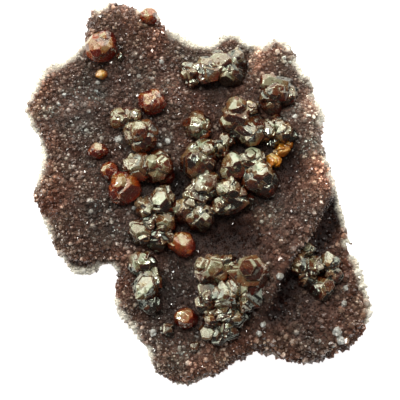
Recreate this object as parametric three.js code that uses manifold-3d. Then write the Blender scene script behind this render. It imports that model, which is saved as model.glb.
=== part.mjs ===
// A cabinet specimen of sphalerite with quartz, lying on its broken back.
// A slab of reddish-brown matrix is covered by a crust of small quartz points, and clusters of
// amber to grey-brown sphalerite crystals grow on the crust.
// Millimetres, +Z up: X across the slab, Y along it, the druse and the sphalerite facing up.
// The group is set so that the origin is under the middle of the specimen, on the surface it lies on.

import * as THREE from "three";
import { mergeVertices } from "three/addons/utils/BufferGeometryUtils.js";
import Module from "manifold-3d";

const wasm = await Module();
wasm.setup();

// ---------- driving dimensions ----------
const FACE_HEIGHT = 9.5; // typical height of the druse above the surface that the slab lies on
const RIM_HEIGHT = 4.6; // height of the widest line round the slab
const RIM_ROUNDING = 4.2; // how far in from the rim the face has risen to its full height
const BACK_BEVEL = 8; // how far in from the rim the broken back becomes flat
const POINT_SPACING = 2.3; // spacing of the facets' corners over the druse
const POINT_SCATTER = 0.9; // how far out of line a corner may be
const POINT_HEIGHT = 0.7; // how far a quartz point stands out of the crust
const RIM_STEP = 2; // spacing of the corners round the rim
const RIM_RAGGEDNESS = 0.35; // how far the rim wanders from its smooth outline
const FIRST_RING = 1; // how far inside the rim the druse's first corners are
const CORNER_CLEARANCE = 1.2; // no two corners of the druse are nearer than this
const SEAT_GAP = 0.3; // clearance between a cluster and the crust, and between clusters

// ---------- the slab's outline, clockwise from the left-hand corner ----------
const LEFT_SHOULDER = [
  [-51.9, 25.2], [-50.1, 29.1], [-48.6, 33.9], [-46.5, 37.2], [-43.5, 39.0], [-39.0, 40.5],
  [-36.0, 43.2], [-33.9, 45.0],
];
const TOP_LOBE = [
  [-33.6, 48.6], [-32.7, 52.8], [-30.3, 55.8], [-27.6, 56.6], [-24.9, 57.0], [-21.0, 55.8],
  [-17.4, 55.2], [-13.8, 55.4], [-12.0, 53.4], [-11.1, 50.1],
];
const TOP_SADDLE = [
  [-8.4, 48.9], [-4.2, 47.1], [-0.3, 45.5], [3.0, 44.6], [5.4, 45.9], [7.8, 47.9], [10.8, 48.0],
  [12.9, 46.5], [15.6, 45.9], [18.9, 44.4],
];
const RIGHT_STEPS = [
  [21.3, 46.2], [25.2, 45.9], [27.0, 44.7], [28.2, 41.7], [30.0, 38.4], [31.8, 35.1],
  [33.6, 34.5], [34.2, 31.2], [34.2, 27.9], [36.0, 27.3], [37.2, 24.3], [36.3, 19.8],
];
const RIGHT_FLANK = [
  [36.6, 15.0], [38.4, 9.6], [40.2, 4.2], [42.3, -1.8], [44.4, -8.4], [45.9, -14.7],
  [48.6, -21.6], [50.7, -28.8], [51.9, -34.8], [50.4, -39.0], [47.7, -43.5], [44.4, -46.5],
];
const LOWER_EDGE = [
  [40.8, -47.1], [38.7, -48.9], [34.2, -50.1], [29.4, -50.4], [24.6, -49.5], [20.7, -47.7],
  [17.4, -47.1], [13.8, -48.9], [9.0, -51.0], [7.2, -53.1], [2.4, -54.9], [-3.0, -57.0],
  [-7.8, -56.1], [-12.0, -54.0], [-13.8, -51.3],
];
const LOWER_LEFT = [
  [-15.3, -47.4], [-18.0, -43.2], [-21.3, -39.3], [-24.6, -35.1], [-25.2, -32.7],
  [-24.6, -28.2], [-24.6, -24.0], [-26.1, -21.3], [-29.1, -21.6], [-31.5, -23.7],
  [-35.4, -24.3], [-38.7, -23.4], [-40.5, -20.1],
];
const LEFT_FLANK = [
  [-42.9, -15.9], [-45.0, -10.8], [-46.8, -6.0], [-49.5, -0.9], [-48.3, 3.3], [-47.1, 8.4],
  [-46.8, 13.2], [-48.0, 17.1], [-50.4, 21.0],
];
const OUTLINE = [
  ...LEFT_SHOULDER, ...TOP_LOBE, ...TOP_SADDLE, ...RIGHT_STEPS,
  ...RIGHT_FLANK, ...LOWER_EDGE, ...LOWER_LEFT, ...LEFT_FLANK,
];

// ---------- the crust's relief ----------
// Swells and hollows: centre x, y, half-widths in x and y, height.
const SWELLS = [
  [-36.6, 8.7, 17, 22, 1.2], // left lobe
  [-23.4, 48.6, 10, 9, 1.5], // top lobe
  [9.3, 45.0, 3.5, 3, 1.2], // knob on the top edge
  [24.3, 42.0, 4, 4, 1.2], // lumps down the stepped right edge
  [28.8, 35.7, 3, 3, 1.0],
  [32.1, 31.8, 3, 3.5, 1.0],
  [34.8, 23.7, 3.5, 5, 1.6],
  [39.0, -34.8, 11, 13, 1.8], // lower right lobe
  [-3.0, -46.8, 12, 8, 0.8], // foot
  [9.6, -31.8, 9, 12, 1.4], // mound under the largest cluster
  [26.4, 8.7, 4.5, 7, -2.6], // smooth hollow right of the middle
  [10.5, -12.9, 11, 5.5, -2.6], // smooth hollow below the middle
  [-6.6, 1.2, 4, 5, -2.2], // hollow among the clusters
  [13.5, 13.2, 8, 2.5, -1.6],
];
// The thick fold that runs down the right side: crest points, and its height and half-width.
const FOLD_CREST = [
  [34.5, 20.7], [36.0, 13.2], [36.6, 5.7], [34.2, -3.3], [30.0, -9.3], [25.8, -15.3],
  [22.8, -22.2], [20.4, -28.8],
];
const FOLD_HEIGHT = 3.6;
const FOLD_HALF_WIDTH = 7;
// Ledges, with the low side on the left of the way that the points run: x, y, drop.
// reach is how far the low ground goes before it has risen again.
const LEDGES = [
  {
    // the fold's broken edge above the lower right lobe
    reach: 90,
    line: [
      [40.8, 3.0, 3.0], [39.3, -1.5, 5.0], [37.2, -4.8, 5.5], [34.8, -9.0, 5.5],
      [33.3, -12.6, 5.2], [30.9, -14.4, 5.0], [28.8, -18.0, 5.0], [26.4, -22.2, 4.6],
      [24.3, -26.4, 4.0], [22.5, -30.6, 3.0], [20.4, -34.8, 1.5], [18.6, -38.4, 0],
    ],
  },
  {
    // the left edge of the upper right crust
    reach: 15,
    line: [
      [4.2, 23.4, 0], [6.6, 26.4, 1.0], [9.6, 30.0, 1.6], [12.9, 33.0, 2.2],
      [15.3, 35.7, 3.0], [15.6, 40.2, 3.2], [16.8, 43.2, 3.0], [18.9, 44.4, 2.4],
    ],
  },
  {
    // the right edge of the top lobe
    reach: 12,
    line: [
      [-11.1, 50.4, 2.6], [-11.7, 47.4, 3.0], [-12.0, 44.1, 2.2], [-13.2, 41.4, 0.9],
      [-15.0, 39.3, 0],
    ],
  },
  {
    // the fold of the crust at the left-hand corner
    reach: 6,
    line: [[-40.8, 24.6, 0], [-45.0, 24.6, 1.3], [-49.2, 24.3, 1.4], [-52.2, 24.3, 1.2]],
  },
  {
    // the double edge beside the notch
    reach: 20,
    line: [
      [-25.2, -20.4, 0.8], [-28.8, -19.2, 2.4], [-33.0, -20.4, 2.8], [-37.2, -20.1, 2.8],
      [-41.1, -18.6, 2.4],
    ],
  },
  {
    // the pale ledge below the upper right crystal
    reach: 5,
    line: [[22.8, 22.5, 0.8], [26.4, 25.8, 1.7], [30.0, 27.0, 1.7], [33.3, 28.5, 1.0]],
  },
];
const LEDGE_HALF_WIDTH = 0.7; // half of the width over which a ledge drops

// ---------- the sphalerite ----------
// Each crystal: x, y, radius, and how many radii its middle stands above the crust.
const AMBER_CRYSTALS = {
  sphalerite_top_left: [[-29.4, 43.8, 4.3, 0.3], [-26.2, 42.4, 2.6, 0.4]],
  sphalerite_top_bead: [[-14.9, 53.0, 1.9, 0.5]],
  sphalerite_red_bead: [[-14.4, 27.0, 3.7, 0.4]],
  sphalerite_round_bead: [[-30.2, 12.9, 2.8, 0.4]],
  sphalerite_amber_bead: [[-5.4, -14.7, 3.5, 0.4]],
  sphalerite_garnet_bead: [[-4.2, -36.9, 2.9, 0.4], [-6.6, -37.8, 1.7, 0.4]],
};
const HONEY_CRYSTALS = {
  sphalerite_yellow_bead: [[-28.8, 35.4, 1.2, 0.5]],
};
const GREY_BROWN_CRYSTALS = {
  sphalerite_grey_bead: [[-23.6, 40.5, 1.25, 0.5]],
  sphalerite_tan_bead: [[-9.6, -39.9, 1.8, 0.4]],
  sphalerite_foot_bead: [[-1.5, -45.3, 1.5, 0.4]],
  sphalerite_left_pair: [
    [-22.8, 22.5, 2.8, 0.4], [-18.9, 23.4, 2.0, 0.7], [-19.5, 17.1, 3.6, 0.45],
    [-15.9, 18.0, 2.6, 0.5], [-17.9, 20.4, 2.4, 0.9],
  ],
  sphalerite_left_group: [
    [-27.0, 6.9, 2.5, 0.4], [-21.9, 1.8, 5.1, 0.3], [-18.3, 9.4, 3.5, 0.45],
    [-12.7, 8.6, 4.0, 0.4], [-15.2, 5.6, 3.1, 0.7], [-13.4, 12.0, 2.3, 0.6],
  ],
  sphalerite_column: [
    [-12.9, -0.2, 2.8, 0.6], [-15.4, -3.5, 2.8, 0.5], [-10.6, -2.9, 2.5, 0.7],
    [-13.8, -6.6, 2.8, 0.7], [-10.0, -7.2, 2.7, 0.6], [-17.1, -10.9, 3.2, 0.4],
    [-12.2, -12.4, 3.3, 0.3], [-8.8, -11.0, 1.9, 0.5],
  ],
  sphalerite_lower_left: [
    [-17.6, -20.6, 3.1, 0.45], [-17.1, -27.0, 3.9, 0.4], [-13.9, -30.2, 2.9, 0.4],
    [-17.7, -31.9, 2.6, 0.5], [-14.2, -25.6, 2.3, 0.5],
  ],
  sphalerite_great_cluster: [
    [3.6, -21.6, 3.9, 0.5], [6.6, -19.4, 2.5, 0.8], [15.0, -23.4, 5.1, 0.45],
    [2.4, -27.9, 3.1, 0.6], [15.0, -31.2, 4.3, 0.5], [7.5, -30.7, 4.0, 0.8],
    [1.2, -32.7, 3.0, 0.5], [7.8, -35.2, 2.5, 1.0], [12.0, -36.2, 2.8, 0.6],
    [3.6, -41.4, 3.2, 0.4], [8.4, -41.1, 2.9, 0.4], [4.6, -37.0, 3.0, 0.5],
    [9.6, -25.8, 2.9, 1.0],
  ],
  sphalerite_lower_right: [
    [29.3, -21.2, 2.5, 0.5], [31.8, -16.6, 1.6, 0.5], [33.0, -20.9, 2.4, 0.8],
    [34.9, -18.5, 1.9, 0.5], [39.0, -20.4, 2.4, 0.6], [40.6, -24.1, 2.1, 0.4],
    [37.2, -27.0, 3.9, 0.2], [31.4, -24.4, 2.2, 0.5], [36.4, -22.6, 2.5, 0.7],
  ],
  sphalerite_top_middle: [
    [-3.0, 36.3, 2.3, 0.5], [-0.3, 34.7, 2.5, 0.5], [-0.8, 38.2, 2.1, 0.6],
    [4.2, 36.6, 3.1, 0.5], [6.3, 41.0, 2.5, 0.5], [9.0, 39.0, 3.1, 0.7],
    [11.6, 38.4, 2.3, 0.6], [9.6, 35.0, 2.8, 0.4],
  ],
  sphalerite_upper_right: [
    [22.8, 31.8, 4.0, 0.35], [26.0, 30.6, 3.4, 0.4], [21.6, 28.0, 3.3, 0.3],
    [25.2, 28.0, 2.9, 0.5],
  ],
  sphalerite_flashing_pair: [
    [9.0, 22.8, 3.8, 0.45], [12.9, 24.3, 2.9, 0.7], [14.1, 19.0, 3.6, 0.5],
    [10.2, 16.6, 2.2, 0.6], [16.0, 17.0, 2.6, 0.4],
  ],
  sphalerite_centre_upper: [
    [-1.5, 20.7, 2.7, 0.6], [0.9, 18.9, 2.6, 0.5], [-1.2, 14.6, 3.3, 0.7],
    [3.0, 14.1, 2.8, 0.5], [-2.1, 8.9, 3.6, 0.45], [2.1, 10.2, 2.4, 0.6],
    [5.5, 14.6, 2.0, 0.4],
  ],
  sphalerite_centre_lower: [
    [2.1, 3.2, 3.2, 0.8], [-1.5, -0.4, 2.8, 0.7], [-4.8, -4.6, 2.6, 0.6],
    [-0.6, -6.0, 3.5, 0.5], [-3.0, -8.6, 2.4, 0.4], [3.3, -2.4, 2.8, 0.6],
    [8.4, 1.5, 2.9, 0.7], [12.0, -0.6, 2.8, 0.5], [7.2, -4.5, 2.6, 0.5],
    [11.8, -3.7, 2.4, 0.5],
  ],
  sphalerite_centre_right: [
    [9.6, 7.8, 3.0, 0.5], [12.2, 8.4, 2.4, 0.7], [15.5, 9.8, 2.5, 0.8],
    [16.2, 4.4, 3.7, 0.5], [20.4, 4.9, 2.9, 0.3], [18.4, 8.3, 1.9, 0.8],
    [20.6, 10.2, 2.1, 0.6], [22.7, 11.6, 1.7, 0.5], [25.0, 13.4, 1.9, 0.4],
  ],
  sphalerite_pale_cluster: [
    [20.4, 19.2, 2.4, 0.7], [24.9, 18.4, 2.5, 0.6], [27.4, 17.2, 1.7, 0.4],
    [22.6, 21.8, 1.5, 0.5], [21.6, 15.6, 2.3, 0.3],
  ],
};
const SPHALERITE = [
  { colour: 0x7a2f10, clusters: AMBER_CRYSTALS },
  { colour: 0xb06a14, clusters: HONEY_CRYSTALS },
  { colour: 0x4a3a2c, clusters: GREY_BROWN_CRYSTALS },
];
const CRUST_COLOUR = 0x5f4a42;

// ---------- chance and unevenness, the same on every run ----------
function seeded(seed) {
  let state = seed >>> 0;
  return () => {
    state = (state + 0x6d2b79f5) >>> 0;
    let t = Math.imul(state ^ (state >>> 15), 1 | state);
    t = (t + Math.imul(t ^ (t >>> 7), 61 | t)) ^ t;
    return ((t ^ (t >>> 14)) >>> 0) / 4294967296;
  };
}

const smooth = (t) => THREE.MathUtils.smoothstep(t, 0, 1);

const gridValue = (i, j) => seeded(i * 7919 + j * 104729)() * 2 - 1;

// Smooth unevenness between -1 and 1, with hills about `size` mm across.
function unevenness(x, y, size) {
  const u = x / size;
  const v = y / size;
  const i = Math.floor(u);
  const j = Math.floor(v);
  const a = smooth(u - i);
  const b = smooth(v - j);
  const low = THREE.MathUtils.lerp(gridValue(i, j), gridValue(i + 1, j), a);
  const high = THREE.MathUtils.lerp(gridValue(i, j + 1), gridValue(i + 1, j + 1), a);
  return THREE.MathUtils.lerp(low, high, b);
}

// ---------- plane geometry ----------
// The nearest place on a line of points: signed distance (positive on the left), and the third
// number of the points there.
function nearest(x, y, line, closed = false) {
  let best = { distance: Infinity, signed: Infinity, value: 0 };
  for (let i = 0; i + 1 < line.length + (closed ? 1 : 0); i++) {
    const [ax, ay, av = 0] = line[i];
    const [bx, by, bv = 0] = line[(i + 1) % line.length];
    const dx = bx - ax;
    const dy = by - ay;
    const along = ((x - ax) * dx + (y - ay) * dy) / (dx * dx + dy * dy);
    const t = THREE.MathUtils.clamp(along, 0, 1);
    const distance = Math.hypot(x - ax - dx * t, y - ay - dy * t);
    if (distance < best.distance) {
      const left = dx * (y - ay) - dy * (x - ax);
      best = { distance, signed: Math.sign(left) * distance, value: av + (bv - av) * t };
    }
  }
  return best;
}

function inside(x, y, loop) {
  let odd = false;
  loop.forEach(([ax, ay], i) => {
    const [bx, by] = loop[(i + 1) % loop.length];
    if (ay > y !== by > y && x < ((bx - ax) * (y - ay)) / (by - ay) + ax) odd = !odd;
  });
  return odd;
}

// Delaunay triangulation: each point in turn opens the triangles whose circles hold it.
function triangulate(points) {
  const far = 1e4;
  const all = [...points, [-far, -far], [far, -far], [0, far]];
  const n = points.length;
  const triangle = (a, b, c) => {
    const [ax, ay] = all[a];
    const [bx, by] = all[b];
    const [cx, cy] = all[c];
    const d = 2 * (ax * (by - cy) + bx * (cy - ay) + cx * (ay - by));
    const a2 = ax * ax + ay * ay;
    const b2 = bx * bx + by * by;
    const c2 = cx * cx + cy * cy;
    const x = (a2 * (by - cy) + b2 * (cy - ay) + c2 * (ay - by)) / d;
    const y = (a2 * (cx - bx) + b2 * (ax - cx) + c2 * (bx - ax)) / d;
    return { corners: [a, b, c], x, y, r2: (ax - x) ** 2 + (ay - y) ** 2 };
  };
  let triangles = [triangle(n, n + 1, n + 2)];
  for (let p = 0; p < n; p++) {
    const [x, y] = all[p];
    const edges = new Map();
    triangles = triangles.filter((t) => {
      if ((x - t.x) ** 2 + (y - t.y) ** 2 >= t.r2) return true;
      t.corners.forEach((a, k) => {
        const b = t.corners[(k + 1) % 3];
        const back = b + "," + a;
        if (edges.has(back)) edges.delete(back);
        else edges.set(a + "," + b, [a, b]);
      });
      return false;
    });
    for (const [a, b] of edges.values()) triangles.push(triangle(a, b, p));
  }
  return triangles.map((t) => t.corners).filter((c) => c.every((k) => k < n));
}

// ---------- the slab ----------
const outlineCurve = new THREE.CatmullRomCurve3(
  OUTLINE.map(([x, y]) => new THREE.Vector3(x, y, 0)), true, "centripetal",
);
const rim = outlineCurve
  .getSpacedPoints(Math.round(outlineCurve.getLength() / RIM_STEP))
  .slice(0, -1)
  .map((p) => {
    const ragged = RIM_RAGGEDNESS * unevenness(p.x, p.y, RIM_STEP);
    return [p.x + ragged, p.y + ragged];
  });

const insideRim = (x, y, depth = 0) =>
  inside(x, y, rim) && nearest(x, y, rim, true).distance > depth;

// A line of points `depth` mm inside the rim.
function insetRim(depth) {
  return rim
    .map(([x, y], i) => {
      const [ax, ay] = rim[(i + rim.length - 1) % rim.length];
      const [bx, by] = rim[(i + 1) % rim.length];
      const share = depth / Math.hypot(bx - ax, by - ay);
      return [x + (by - ay) * share, y - (bx - ax) * share];
    })
    .filter(([x, y]) => insideRim(x, y, depth * 0.9));
}

// Height of the crust far from the rim.
function relief(x, y) {
  let z = FACE_HEIGHT + 0.7 * unevenness(x, y, 9) + 0.35 * unevenness(x + 40, y, 3.6);
  for (const [cx, cy, rx, ry, height] of SWELLS)
    z += height * Math.exp(-(((x - cx) / rx) ** 2) - ((y - cy) / ry) ** 2);
  const fold = nearest(x, y, FOLD_CREST).distance / FOLD_HALF_WIDTH;
  z += FOLD_HEIGHT * Math.exp(-fold * fold);
  for (const { line, reach } of LEDGES) {
    const { signed, value } = nearest(x, y, line);
    const low = THREE.MathUtils.smoothstep(signed, -LEDGE_HALF_WIDTH, LEDGE_HALF_WIDTH);
    const fade = Math.exp(-((Math.max(signed, 0) / reach) ** 2));
    z -= value * low * fade;
  }
  return z;
}

const rimHeight = (x, y) => RIM_HEIGHT + 0.9 * unevenness(x, y, 7);

// Height of the upper surface: the crust, rounded down to the rim.
function upperHeight(x, y) {
  const t = Math.min(nearest(x, y, rim, true).distance / RIM_ROUNDING, 1);
  const edge = rimHeight(x, y);
  return edge + (relief(x, y) - edge) * Math.sqrt(1 - (1 - t) ** 2);
}

// Corners of the druse: a ring inside the rim, both sides of each ledge, one under each crystal,
// and between them a triangular lattice in which every third corner is the tip of a quartz point.
function crustCorners() {
  const chance = seeded(11);
  const crystals = SPHALERITE.flatMap(({ clusters }) => Object.values(clusters).flat());
  const corners = insetRim(FIRST_RING).map(([x, y]) => [x, y, 0]);
  for (const { line } of LEDGES) {
    const curve = new THREE.CatmullRomCurve3(line.map(([x, y]) => new THREE.Vector3(x, y, 0)));
    const steps = Math.round(curve.getLength() / RIM_STEP);
    for (let k = 0; k <= steps; k++) {
      const p = curve.getPointAt(k / steps);
      const way = curve.getTangentAt(k / steps);
      for (const side of [-LEDGE_HALF_WIDTH, LEDGE_HALF_WIDTH]) {
        const x = p.x - way.y * side;
        const y = p.y + way.x * side;
        if (insideRim(x, y, 2 * FIRST_RING)) corners.push([x, y, 0]);
      }
    }
  }
  for (const [x, y, radius] of crystals) if (radius > 1.5) corners.push([x, y, 0]);
  const fixed = corners.slice();
  const rowSpacing = POINT_SPACING * Math.sqrt(0.75);
  for (let row = -35; row <= 35; row++)
    for (let column = -50; column <= 50; column++) {
      const x = (column + row / 2) * POINT_SPACING + (chance() - 0.5) * POINT_SCATTER;
      const y = row * rowSpacing + (chance() - 0.5) * POINT_SCATTER;
      const lift = ((column - row) % 3 === 0 ? 0.75 : -0.25) * POINT_HEIGHT;
      const underCrystal = crystals.some(([cx, cy, radius]) => Math.hypot(cx - x, cy - y) < radius);
      const crowded = fixed.some(([fx, fy]) => Math.hypot(fx - x, fy - y) < CORNER_CLEARANCE);
      if (insideRim(x, y, 2 * FIRST_RING) && !underCrystal && !crowded)
        corners.push([x, y, lift + (chance() - 0.5) * 0.4 * POINT_HEIGHT]);
    }
  return corners;
}

// Corners of the back: a rough bevel, and a flat break to lie on.
function backCorners() {
  const chance = seeded(5);
  const thinned = (depth) => insetRim(depth).filter((_, i) => i % 3 === 0);
  const corners = [
    ...thinned(BACK_BEVEL / 2).map(([x, y]) => [x, y, RIM_HEIGHT * (0.4 + 0.2 * chance())]),
    ...thinned(BACK_BEVEL).map(([x, y]) => [x, y, 0]),
  ];
  const step = 10;
  for (let x = -50; x <= 50; x += step)
    for (let y = -50; y <= 50; y += step)
      if (insideRim(x, y, BACK_BEVEL + step / 3)) corners.push([x, y, 0]);
  return corners;
}

// Corners closer together than `least` are thinned out.
function spaced(corners, least) {
  const kept = [];
  for (const [x, y, z] of corners)
    if (kept.every(([kx, ky]) => Math.hypot(kx - x, ky - y) >= least)) kept.push([x, y, z]);
  return kept;
}

function trianglesInside(corners) {
  return triangulate(corners).filter((t) => {
    const x = t.reduce((sum, k) => sum + corners[k][0], 0) / 3;
    const y = t.reduce((sum, k) => sum + corners[k][1], 0) / 3;
    return inside(x, y, rim);
  });
}

// The closed slab. `raised` lifts the crust, for cutting the clusters' seats.
function slabGeometry(raised = 0) {
  const crust = crustCorners();
  const back = spaced(backCorners(), 2.4);
  const edge = rim.map(([x, y]) => [x, y, rimHeight(x, y) + raised]);
  const front = [...rim, ...crust];
  const rear = [...rim, ...back];
  const positions = [
    ...edge.flat(),
    ...crust.flatMap(([x, y, lift]) => [x, y, upperHeight(x, y) + lift + raised]),
    ...back.flat(),
  ];
  const rearIndex = (k) => (k < rim.length ? k : k + crust.length);
  const index = [
    ...trianglesInside(front).flat(),
    ...trianglesInside(rear).flatMap(([a, b, c]) => [rearIndex(a), rearIndex(c), rearIndex(b)]),
  ];
  const geometry = new THREE.BufferGeometry();
  geometry.setAttribute("position", new THREE.Float32BufferAttribute(positions, 3));
  geometry.setIndex(index);
  return geometry;
}

// ---------- solids ----------
function solidOf(geometry) {
  const bare = geometry.clone();
  bare.deleteAttribute("normal");
  bare.deleteAttribute("uv");
  const merged = mergeVertices(bare, 1e-5);
  return new wasm.Manifold(
    new wasm.Mesh({
      numProp: 3,
      vertProperties: Float32Array.from(merged.attributes.position.array),
      triVerts: Uint32Array.from(merged.index.array),
    }),
  );
}

function geometryOf(solid) {
  const { vertProperties, triVerts, numProp } = solid.getMesh();
  const positions = [];
  for (let i = 0; i < vertProperties.length; i += numProp)
    positions.push(...vertProperties.slice(i, i + 3));
  const geometry = new THREE.BufferGeometry();
  geometry.setAttribute("position", new THREE.Float32BufferAttribute(positions, 3));
  geometry.setIndex([...triVerts]);
  return geometry;
}

const largestBody = (solid) =>
  solid.decompose().reduce((a, b) => (b.volume() > a.volume() ? b : a));

// Faces of a sphalerite crystal, each with its share of the radius: the rhombic dodecahedron's
// twelve, and on the larger crystals the tetrahedron's four across its corners.
const DODECAHEDRON = [];
for (const a of [-1, 1])
  for (const b of [-1, 1]) DODECAHEDRON.push([a, b, 0, 0.88], [a, 0, b, 0.88], [0, a, b, 0.88]);
const TETRAHEDRON = [
  [1, 1, 1, 0.84], [1, -1, -1, 0.84], [-1, 1, -1, 0.84], [-1, -1, 1, 0.84],
];
const LARGE_CRYSTAL = 3.7; // the radius from which a crystal has both

// One crystal: a block cut back to its faces, none of them quite true, and turned at random.
function crystal([x, y, radius, rise], seed, swell = 0) {
  const chance = seeded(seed);
  const angle = () => chance() * 2 * Math.PI;
  const turn = new THREE.Quaternion().setFromEuler(new THREE.Euler(angle(), angle(), angle()));
  const block = (radius + swell) * 3;
  let solid = solidOf(new THREE.BoxGeometry(block, block, block));
  const faces = radius < LARGE_CRYSTAL ? DODECAHEDRON : [...DODECAHEDRON, ...TETRAHEDRON];
  for (const [a, b, c, share] of faces) {
    const tilt = new THREE.Vector3(chance() - 0.5, chance() - 0.5, chance() - 0.5);
    const out = new THREE.Vector3(a, b, c).normalize().addScaledVector(tilt, 0.2).normalize();
    const reach = radius * share * (0.94 + 0.12 * chance()) + swell;
    out.applyQuaternion(turn);
    solid = solid.trimByPlane([-out.x, -out.y, -out.z], -reach);
  }
  return solid.translate([x, y, relief(x, y) + rise * radius]);
}

function join(solids) {
  return solids.reduce((a, b) => a.add(b));
}

// ---------- the assembly ----------
const specimen = new THREE.Group();

function addPiece(name, geometry, colour, roughness) {
  const material = new THREE.MeshStandardMaterial({ color: colour, roughness, metalness: 0 });
  const mesh = new THREE.Mesh(geometry, material);
  mesh.name = name;
  specimen.add(mesh);
}

addPiece("quartz_crusted_matrix", slabGeometry(), CRUST_COLOUR, 0.6);

const seat = solidOf(slabGeometry(SEAT_GAP));
const surroundings = [seat];
for (const { colour, clusters } of SPHALERITE)
  for (const [name, crystals] of Object.entries(clusters)) {
    const seed = surroundings.length * 1000;
    const grown = (swell) => join(crystals.map((c, i) => crystal(c, seed + 37 * i, swell)));
    const cluster = surroundings.reduce((solid, other) => solid.subtract(other), grown(0));
    surroundings.push(grown(SEAT_GAP));
    addPiece(name, geometryOf(largestBody(cluster)), colour, 0.15);
  }

const bounds = new THREE.Box3().setFromObject(specimen);
const middle = bounds.getCenter(new THREE.Vector3());
specimen.position.set(-middle.x, -middle.y, -bounds.min.z);

export default specimen;
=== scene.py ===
import math
import random

import bpy
from mathutils import Matrix, Vector, bvhtree, geometry, kdtree


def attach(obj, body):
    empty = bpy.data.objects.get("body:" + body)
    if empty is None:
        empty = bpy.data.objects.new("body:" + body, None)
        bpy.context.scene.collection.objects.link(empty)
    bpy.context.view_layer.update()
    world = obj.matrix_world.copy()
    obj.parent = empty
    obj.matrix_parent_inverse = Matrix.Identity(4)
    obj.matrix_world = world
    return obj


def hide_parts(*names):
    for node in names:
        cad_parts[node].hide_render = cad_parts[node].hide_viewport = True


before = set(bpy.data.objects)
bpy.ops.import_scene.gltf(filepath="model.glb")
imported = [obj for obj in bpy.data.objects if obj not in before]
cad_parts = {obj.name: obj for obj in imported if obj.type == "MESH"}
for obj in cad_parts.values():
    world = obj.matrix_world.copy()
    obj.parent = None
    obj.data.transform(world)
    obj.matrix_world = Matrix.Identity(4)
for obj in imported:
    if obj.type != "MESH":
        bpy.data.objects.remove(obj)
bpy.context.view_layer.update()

# -----------------------------------------------------------------------------
# The table, the lights and the camera. The specimen lies on a plain white table and is seen from
# straight above. Soft boxes light it from beyond its upper end and from both sides.

MM = 0.001
TABLE_SIZE = 4
TABLE_GAP = 0.05 * MM
TABLE_COLOUR = (0.9, 0.9, 0.9)
TABLE_ROUGHNESS = 0.8
TABLE_GLOW = 0.95
ROOM_GLOW = 0.08
WHITE = (1, 1, 1)
LIGHT_COLOUR = (1.0, 0.99, 0.93)
SOFT_BOXES = {
    # name: place, width and height in metres, glow
    "far_strip": ((0.10, 0.72, 0.20), 0.90, 0.26, 3.8),
    "left_strip": ((-0.62, 0.36, 0.20), 0.60, 0.26, 3.2),
    "right_strip": ((0.62, 0.40, 0.20), 0.50, 0.22, 1.6),
    "high_light": ((-0.36, 0.42, 0.42), 0.52, 0.46, 2.8),
    "fill_light": ((0.22, 0.42, 0.55), 0.34, 0.40, 1.1),
    "front_light": ((-0.10, 0.06, 0.66), 0.30, 0.30, 0.7),
    "key_light": ((-0.16, 0.26, 0.60), 0.10, 0.10, 44),
    "second_light": ((0.16, 0.34, 0.55), 0.08, 0.08, 36),
}
PICTURE_WIDTH = 120 * MM
PICTURE_CENTRE = (0.15 * MM, -1.8 * MM)
RIM_HEIGHT = 5 * MM
LENS = 135

bpy.ops.object.select_all(action="DESELECT")
bpy.ops.mesh.primitive_plane_add(size=TABLE_SIZE, location=(0, 0, -TABLE_GAP))
table = bpy.context.object
table.name = "white_table"
white = bpy.data.materials.new("white_table")
white.use_nodes = True
paint = white.node_tree.nodes["Principled BSDF"]
paint.inputs["Base Color"].default_value = (*TABLE_COLOUR, 1)
paint.inputs["Roughness"].default_value = TABLE_ROUGHNESS
paint.inputs["Emission Color"].default_value = (*WHITE, 1)
paint.inputs["Emission Strength"].default_value = TABLE_GLOW
table.data.materials.append(white)

for name, (place, width, height, glow) in SOFT_BOXES.items():
    bpy.ops.object.light_add(type="AREA", location=place)
    light = bpy.context.object
    light.name = name
    light.rotation_euler = Vector(place).to_track_quat("Z", "Y").to_euler()
    light.data.shape = "RECTANGLE"
    light.data.size = width
    light.data.size_y = height
    light.data.energy = glow * math.pi * width * height
    light.data.color = LIGHT_COLOUR

room = bpy.data.worlds.new("room")
bpy.context.scene.world = room
room.use_nodes = True
room_light = room.node_tree.nodes["Background"]
room_light.inputs["Color"].default_value = (*WHITE, 1)
room_light.inputs["Strength"].default_value = ROOM_GLOW

camera_data = bpy.data.cameras.new("camera")
camera_data.lens = LENS
# so high that the picture's width fills the sensor at the height of the rim
camera_height = RIM_HEIGHT + PICTURE_WIDTH / camera_data.sensor_width * LENS
camera = bpy.data.objects.new("camera", camera_data)
camera.location = (*PICTURE_CENTRE, camera_height)
bpy.context.scene.collection.objects.link(camera)
bpy.context.scene.camera = camera
bpy.context.scene.view_settings.view_transform = "Standard"

# -----------------------------------------------------------------------------
# The matrix rock. One slab of red-brown rock that was broken off flat behind. Its face swells and
# sinks and carries a thick fold, and the quartz crust grew all over it and round its edge.

SAME_PLACE = 0.001 * MM
SKIN_STEP = 0.6 * MM
SKIN_SMOOTHING = 6
SMOOTH_STRENGTH = 0.5
LUMP_SIZE = 2.2 * MM
LUMP_HEIGHT = 0.9 * MM
LUMP_DETAIL = 3
RIM_FADE = 12 * MM
NEARLY_UPRIGHT = 0.35
BACK_FADE = 2
CAVITY_SMOOTHING = 90
CAVITY_DEPTH = 1.6 * MM
ROCK_ROUGHNESS = 0.7
GRIT_HEIGHT = 0.2 * MM
GRIT_STRENGTH = 0.6
# the pale rim: translucent quartz at the crust's edge, partly a painted glow of the edge lit from
# the table
RIM_COLOUR_AND_GLOW = (0.85, 0.80, 0.66)
# patterns, in lumps to the metre
ROCK_SPECKLES = 700
ROCK_STAINS = 60
ROCK_GRIT = 2500
RIM_WANDERING = 160
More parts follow.
